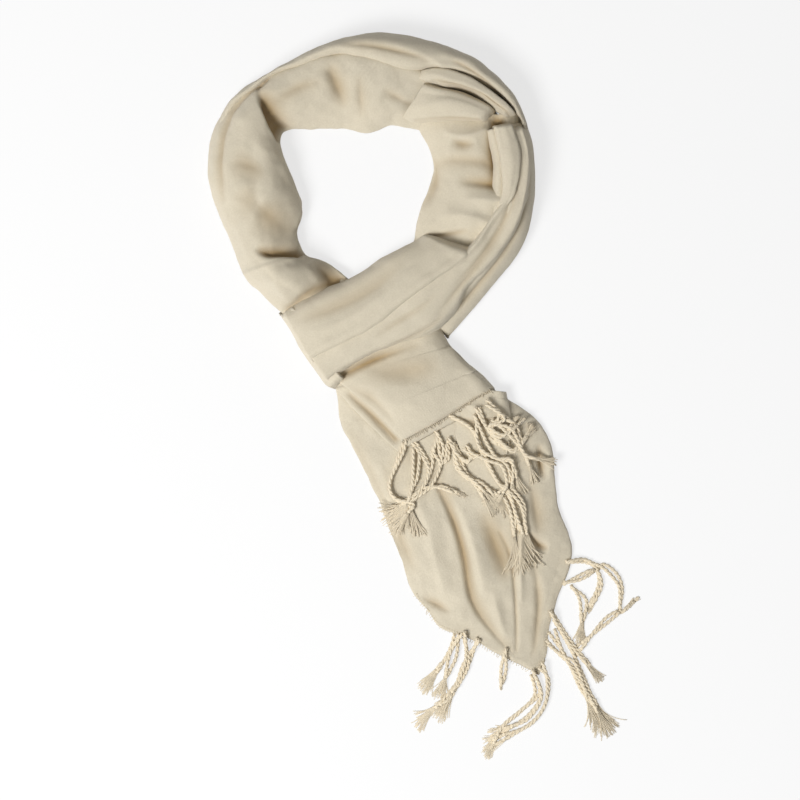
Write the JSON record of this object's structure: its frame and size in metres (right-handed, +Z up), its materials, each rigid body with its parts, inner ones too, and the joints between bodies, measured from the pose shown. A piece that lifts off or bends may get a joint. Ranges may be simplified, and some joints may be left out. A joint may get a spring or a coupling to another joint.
{
  "type": "fringed stole, looped and laid flat",
  "caption": "Cream woven stole, folded in half, curled into a neck loop and pulled through its own fold, with twisted fringe.",
  "frame": {"origin": "under the middle of the laid-out stole's box, on the surface it lies on", "axes": "+Y from the fringe towards the back of the neck loop, +X to the right of the stole as seen from above, +Z up"},
  "size_m": [0.3424, 0.581, 0.0372],
  "materials": {
    "woven_cloth": "matt, softly napped, faint sheen",
    "fringe_yarn": "matt twisted yarn"
  },
  "bodies": {
    "root": {"back_flap": "woven_cloth", "back_turn": "woven_cloth", "band_lower": "woven_cloth", "band_turn": "woven_cloth", "band_upper": "woven_cloth", "left_pillow": "woven_cloth", "left_turn": "woven_cloth", "long_fringe_left": "fringe_yarn", "long_fringe_middle": "fringe_yarn", "long_fringe_right": "fringe_yarn", "long_fringe_side": "fringe_yarn", "long_tail_left": "woven_cloth", "long_tail_middle": "woven_cloth", "long_tail_right": "woven_cloth", "outer_roll": "woven_cloth", "right_roll": "woven_cloth", "right_turn": "woven_cloth", "rim_fold": "woven_cloth", "second_roll": "woven_cloth", "short_fringe_left": "fringe_yarn", "short_fringe_middle": "fringe_yarn", "short_fringe_right": "fringe_yarn", "short_hem_flap": "woven_cloth", "short_tail": "woven_cloth", "short_tail_under": "woven_cloth", "under_band": "woven_cloth"}
  },
  "joints": []
}
